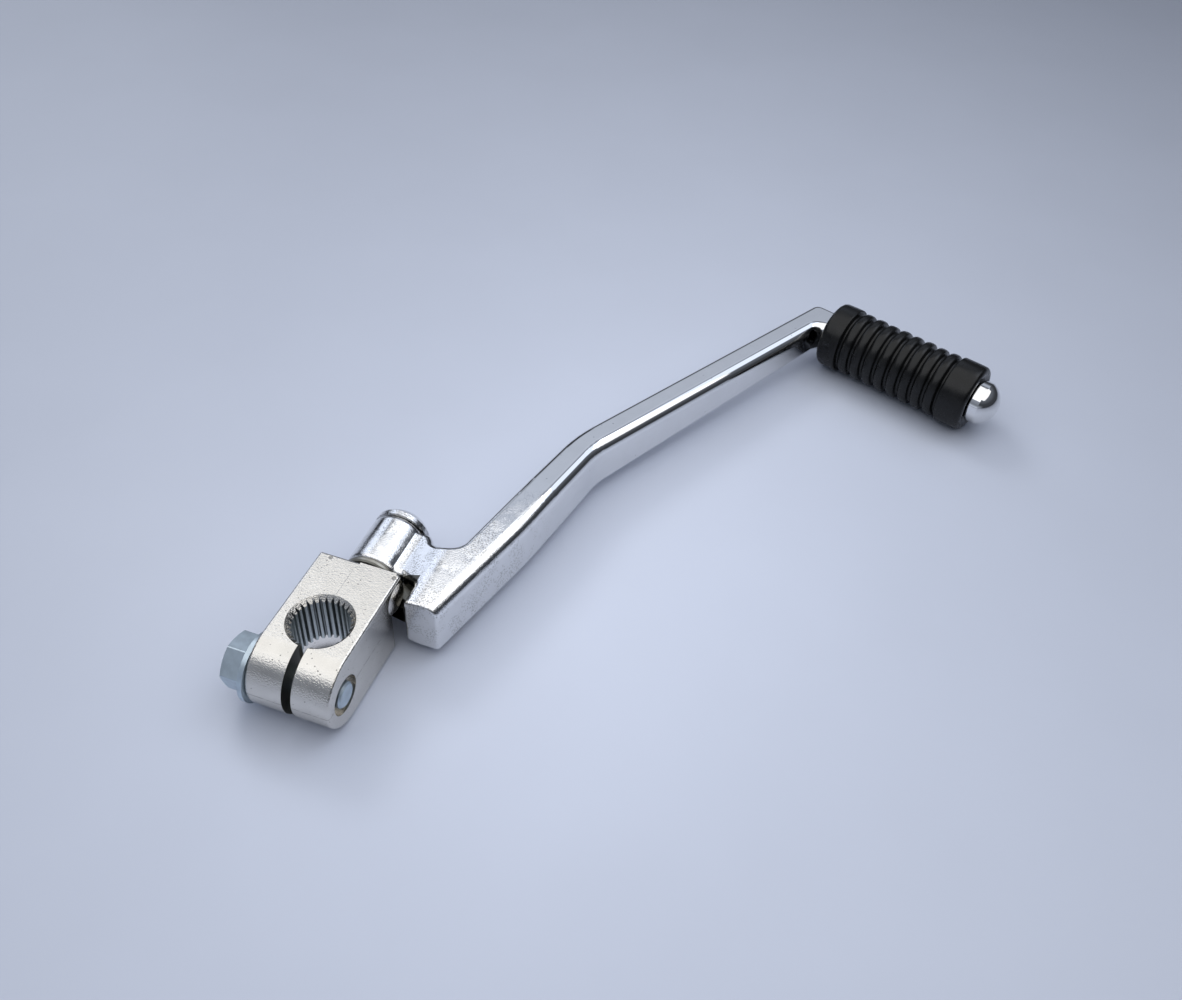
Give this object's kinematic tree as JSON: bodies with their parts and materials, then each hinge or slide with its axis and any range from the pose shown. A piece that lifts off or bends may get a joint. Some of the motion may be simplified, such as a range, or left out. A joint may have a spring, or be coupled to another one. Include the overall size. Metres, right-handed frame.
{
  "type": "folding kick start lever",
  "caption": "Folding kick start lever: a split clamp hub with a serrated bore and pinch bolt, a pivoting cranked chrome arm and a ribbed rubber pedal sleeve.",
  "frame": {"origin": "middle of the hub's thickness on the axis of the serrated bore", "axes": "+Z along the bore, +Y from the bore to the pivot, +X to the side the folded pedal points to"},
  "size_m": [0.1713, 0.2156, 0.0224],
  "materials": {
    "hub_nickel": "satin nickel over steel",
    "bolt_zinc": "zinc plated steel",
    "pin_steel": "chrome plated steel",
    "seal_rubber": "matte rubber",
    "washer_steel": "ground steel",
    "ball_steel": "polished steel",
    "spring_steel": "plain spring steel",
    "arm_chrome": "chrome plated steel",
    "pedal_rubber": "satin moulded rubber"
  },
  "bodies": {
    "hub": {"clamp_hub": "hub_nickel", "clamp_bolt": "bolt_zinc", "pivot_pin": "pin_steel", "dust_seal": "seal_rubber", "thrust_washer": "washer_steel", "detent_ball": "ball_steel", "detent_spring": "spring_steel"},
    "arm": {"lever_arm": "arm_chrome", "pedal_rubber": "pedal_rubber"}
  },
  "joints": [
    {"name": "arm_fold", "type": "hinge", "parent": "hub", "child": "arm", "pos_m": [0, 0.033, 0], "axis": [0, 1, 0], "range_deg": [0, 90]}
  ]
}
